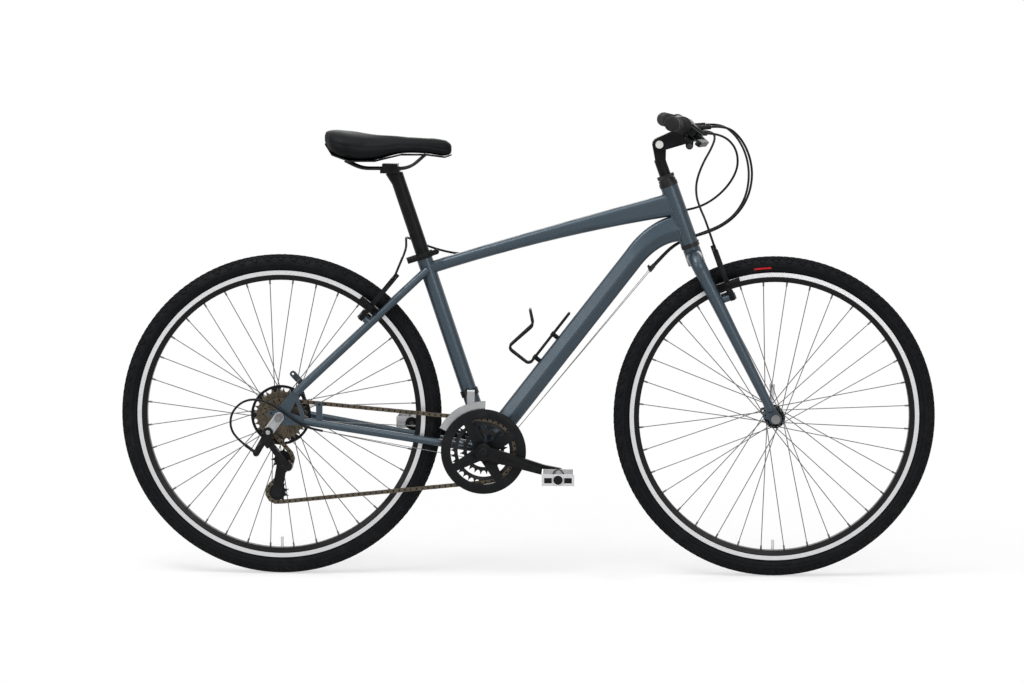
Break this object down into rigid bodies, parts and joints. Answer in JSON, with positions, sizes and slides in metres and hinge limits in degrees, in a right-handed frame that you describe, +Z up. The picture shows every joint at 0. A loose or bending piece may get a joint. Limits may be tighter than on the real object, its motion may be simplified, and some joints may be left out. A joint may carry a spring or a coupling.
{
  "type": "hybrid bike",
  "caption": "Flat-bar hybrid bicycle with a sloping frame, rigid fork, rim brakes, geared chain drive, adjustable stem and sprung gear mechanisms that steer, roll and pedal.",
  "frame": {"origin": "on the ground, midway between the wheel axles, in the frame's middle plane", "axes": "+X forwards, +Y to the rider's left, +Z up"},
  "size_m": [1.7859, 0.6284, 1.0134],
  "materials": {
    "frame_paint": "satin",
    "black_alloy": "satin",
    "black_steel": "satin",
    "silver_alloy": "satin",
    "rim_alloy": "satin",
    "spoke_steel": "satin",
    "plain_steel": "satin",
    "bronze_steel": "satin",
    "chrome_steel": "polished",
    "tyre_rubber": "matte",
    "grip_rubber": "matte",
    "tube_rubber": "matte",
    "black_plastic": "matte",
    "cable_plastic": "satin",
    "seat_skin": "matte"
  },
  "bodies": {
    "frame": {"main_frame": "frame_paint", "rear_frame": "frame_paint", "bottle_cage": "black_alloy", "seat_clamp": "black_alloy", "headset_bearings": "black_steel", "bottom_bracket": "plain_steel", "front_derailleur_clamp": "black_steel", "derailleur_hanger": "chrome_steel", "rear_axle": "plain_steel", "rear_derailleur_body": "black_alloy", "control_cables": "cable_plastic", "chain": "bronze_steel"},
    "steering": {"fork": "frame_paint", "headset_locknuts": "black_steel", "stem_quill": "black_alloy", "front_axle": "plain_steel"},
    "bar": {"stem_arm": "black_alloy", "stem_bolts": "chrome_steel", "handlebar": "black_alloy", "handlebar_grips": "grip_rubber", "control_pods": "black_plastic"},
    "right_lever": {"right_brake_lever": "black_alloy"},
    "left_lever": {"left_brake_lever": "black_alloy"},
    "right_shifter": {"right_shift_lever": "black_plastic"},
    "left_shifter": {"left_shift_lever": "black_plastic"},
    "front_left_arm": {"front_left_brake_arm": "black_alloy"},
    "front_right_arm": {"front_right_brake_arm": "black_alloy"},
    "rear_left_arm": {"rear_left_brake_arm": "black_alloy"},
    "rear_right_arm": {"rear_right_brake_arm": "black_alloy"},
    "front_wheel": {"front_tyre": "tyre_rubber", "front_rim": "rim_alloy", "front_spokes": "spoke_steel", "front_hub": "black_alloy", "front_inner_tube": "tube_rubber"},
    "rear_wheel": {"rear_tyre": "tyre_rubber", "rear_rim": "rim_alloy", "rear_spokes": "spoke_steel", "rear_hub": "black_alloy", "rear_inner_tube": "tube_rubber", "spoke_protector": "black_plastic"},
    "cogs": {"freewheel": "bronze_steel"},
    "crank": {"crank_arms": "black_alloy", "crank_axle": "plain_steel", "chainrings": "black_steel", "chain_guard": "black_plastic"},
    "pedal_right": {"right_pedal": "silver_alloy"},
    "pedal_left": {"left_pedal": "silver_alloy"},
    "outer_link": {"rear_derailleur_outer_link": "black_alloy"},
    "inner_link": {"rear_derailleur_inner_link": "black_alloy"},
    "lower_knuckle": {"rear_derailleur_knuckle": "black_alloy"},
    "pulley_cage": {"rear_derailleur_cage": "black_steel"},
    "guide": {"guide_pulley": "black_plastic"},
    "tension": {"tension_pulley": "black_plastic"},
    "front_cage": {"front_derailleur_cage": "chrome_steel"},
    "seat": {"saddle_cover": "seat_skin", "saddle_base": "black_plastic", "saddle_rails": "plain_steel", "seat_post": "black_alloy"},
    "seat_lever": {"seat_clamp_lever": "black_alloy"},
    "hub_lever": {"front_hub_lever": "silver_alloy"}
  },
  "joints": [
    {"name": "steering_turn", "type": "hinge", "parent": "frame", "child": "steering", "pos_m": [0.49683, 0, 0.33593], "axis": [-0.342, 0, 0.9397], "range_deg": [-50, 50], "deforming": ["control_cables"]},
    {"name": "stem_tilt", "type": "hinge", "parent": "steering", "child": "bar", "pos_m": [0.28494, 0, 0.94733], "axis": [0, 1, 0], "range_deg": [-12, 12], "deforming": ["control_cables"]},
    {"name": "right_lever_pull", "type": "hinge", "parent": "bar", "child": "right_lever", "pos_m": [0.36397, -0.17722, 0.96788], "axis": [-0.5852, 0.0938, -0.8054], "range_deg": [0, 15], "stiffness_Nm_per_rad": 0.6, "deforming": ["control_cables"]},
    {"name": "left_lever_pull", "type": "hinge", "parent": "bar", "child": "left_lever", "pos_m": [0.36397, 0.17722, 0.96788], "axis": [0.5852, 0.0938, 0.8054], "range_deg": [0, 15], "stiffness_Nm_per_rad": 0.6, "deforming": ["control_cables"]},
    {"name": "right_shift", "type": "hinge", "parent": "bar", "child": "right_shifter", "pos_m": [0.34621, -0.15043, 0.96404], "axis": [0.5852, -0.0938, 0.8054], "range_deg": [0, 25], "stiffness_Nm_per_rad": 0.3},
    {"name": "left_shift", "type": "hinge", "parent": "bar", "child": "left_shifter", "pos_m": [0.34621, 0.15043, 0.96404], "axis": [-0.5852, -0.0938, -0.8054], "range_deg": [0, 25], "stiffness_Nm_per_rad": 0.3},
    {"name": "front_right_arm_close", "type": "hinge", "parent": "steering", "child": "front_right_arm", "pos_m": [0.44421, -0.041, 0.61793], "axis": [-0.9397, 0, -0.342], "range_deg": [0, 3.3], "stiffness_Nm_per_rad": 0.6},
    {"name": "front_left_arm_close", "type": "hinge", "parent": "steering", "child": "front_left_arm", "pos_m": [0.44421, 0.041, 0.61793], "axis": [0.9397, 0, 0.342], "range_deg": [0, 3.3], "stiffness_Nm_per_rad": 0.6},
    {"name": "rear_right_arm_close", "type": "hinge", "parent": "frame", "child": "rear_right_arm", "pos_m": [-0.36099, -0.041, 0.57037], "axis": [-0.7716, 0, 0.6361], "range_deg": [0, 3.3], "stiffness_Nm_per_rad": 0.6},
    {"name": "rear_left_arm_close", "type": "hinge", "parent": "frame", "child": "rear_left_arm", "pos_m": [-0.36099, 0.041, 0.57037], "axis": [0.7716, 0, -0.6361], "range_deg": [0, 3.3], "stiffness_Nm_per_rad": 0.6},
    {"name": "front_wheel_spin", "type": "hinge", "parent": "steering", "child": "front_wheel", "pos_m": [0.541, 0, 0.352], "axis": [0, 1, 0], "continuous": true},
    {"name": "rear_wheel_spin", "type": "hinge", "parent": "frame", "child": "rear_wheel", "pos_m": [-0.541, 0, 0.352], "axis": [0, 1, 0], "continuous": true},
    {"name": "crank_spin", "type": "hinge", "parent": "frame", "child": "crank", "pos_m": [-0.0951, 0, 0.278], "axis": [0, 1, 0], "continuous": true, "deforming": ["chain"]},
    {"name": "cogs_spin", "type": "hinge", "parent": "frame", "child": "cogs", "pos_m": [-0.541, 0, 0.352], "axis": [0, 1, 0], "continuous": true},
    {"name": "right_pedal_spin", "type": "hinge", "parent": "crank", "child": "pedal_right", "pos_m": [0.06832, 0, 0.23114], "axis": [0, 1, 0], "continuous": true},
    {"name": "left_pedal_spin", "type": "hinge", "parent": "crank", "child": "pedal_left", "pos_m": [-0.25851, 0, 0.32486], "axis": [0, 1, 0], "continuous": true},
    {"name": "rear_gear_shift", "type": "hinge", "parent": "frame", "child": "outer_link", "pos_m": [-0.56, -0.079, 0.293], "axis": [0.7771, 0, 0.6293], "range_deg": [-10, 14], "stiffness_Nm_per_rad": 1.5, "deforming": ["chain"]},
    {"name": "inner_link_swing", "type": "hinge", "parent": "frame", "child": "inner_link", "pos_m": [-0.56, -0.066, 0.293], "axis": [0.7771, 0, 0.6293], "range_deg": [-10, 14]},
    {"name": "knuckle_swing", "type": "hinge", "parent": "outer_link", "child": "lower_knuckle", "pos_m": [-0.52539, -0.079, 0.25026], "axis": [0.7771, 0, 0.6293], "range_deg": [-14, 10]},
    {"name": "pulley_cage_swing", "type": "hinge", "parent": "lower_knuckle", "child": "pulley_cage", "pos_m": [-0.52035, 0, 0.24404], "axis": [0, 1, 0], "range_deg": [-12, 12], "stiffness_Nm_per_rad": 1, "deforming": ["chain"]},
    {"name": "guide_spin", "type": "hinge", "parent": "pulley_cage", "child": "guide", "pos_m": [-0.535, 0, 0.258], "axis": [0, 1, 0], "continuous": true},
    {"name": "tension_spin", "type": "hinge", "parent": "pulley_cage", "child": "tension", "pos_m": [-0.54726, 0, 0.18502], "axis": [0, 1, 0], "continuous": true},
    {"name": "front_gear_shift", "type": "hinge", "parent": "frame", "child": "front_cage", "pos_m": [-0.12323, -0.047, 0.40697], "axis": [1, 0, 0], "range_deg": [-2.5, 8], "stiffness_Nm_per_rad": 1.5, "deforming": ["chain"]},
    {"name": "seat_height", "type": "slide", "parent": "frame", "child": "seat", "axis": [-0.3206, 0, 0.9472], "range_m": [-0.08, 0.06]},
    {"name": "seat_lever_open", "type": "hinge", "parent": "frame", "child": "seat_lever", "pos_m": [-0.25861, -0.02645, 0.69246], "axis": [0.3206, 0, -0.9472], "range_deg": [0, 90]},
    {"name": "hub_lever_open", "type": "hinge", "parent": "steering", "child": "hub_lever", "pos_m": [0.541, 0.07, 0.352], "axis": [-1, 0, 0], "range_deg": [0, 110]}
  ],
  "couplings": [
    {"joint": "rear_right_arm_close", "follows": "right_lever_pull", "ratio": 0.22},
    {"joint": "rear_left_arm_close", "follows": "right_lever_pull", "ratio": 0.22},
    {"joint": "front_right_arm_close", "follows": "left_lever_pull", "ratio": 0.22},
    {"joint": "front_left_arm_close", "follows": "left_lever_pull", "ratio": 0.22},
    {"joint": "cogs_spin", "follows": "crank_spin", "ratio": 1.8889},
    {"joint": "guide_spin", "follows": "crank_spin", "ratio": -3.0909},
    {"joint": "tension_spin", "follows": "crank_spin", "ratio": 3.0909},
    {"joint": "inner_link_swing", "follows": "rear_gear_shift", "ratio": 1},
    {"joint": "knuckle_swing", "follows": "rear_gear_shift", "ratio": -1}
  ]
}
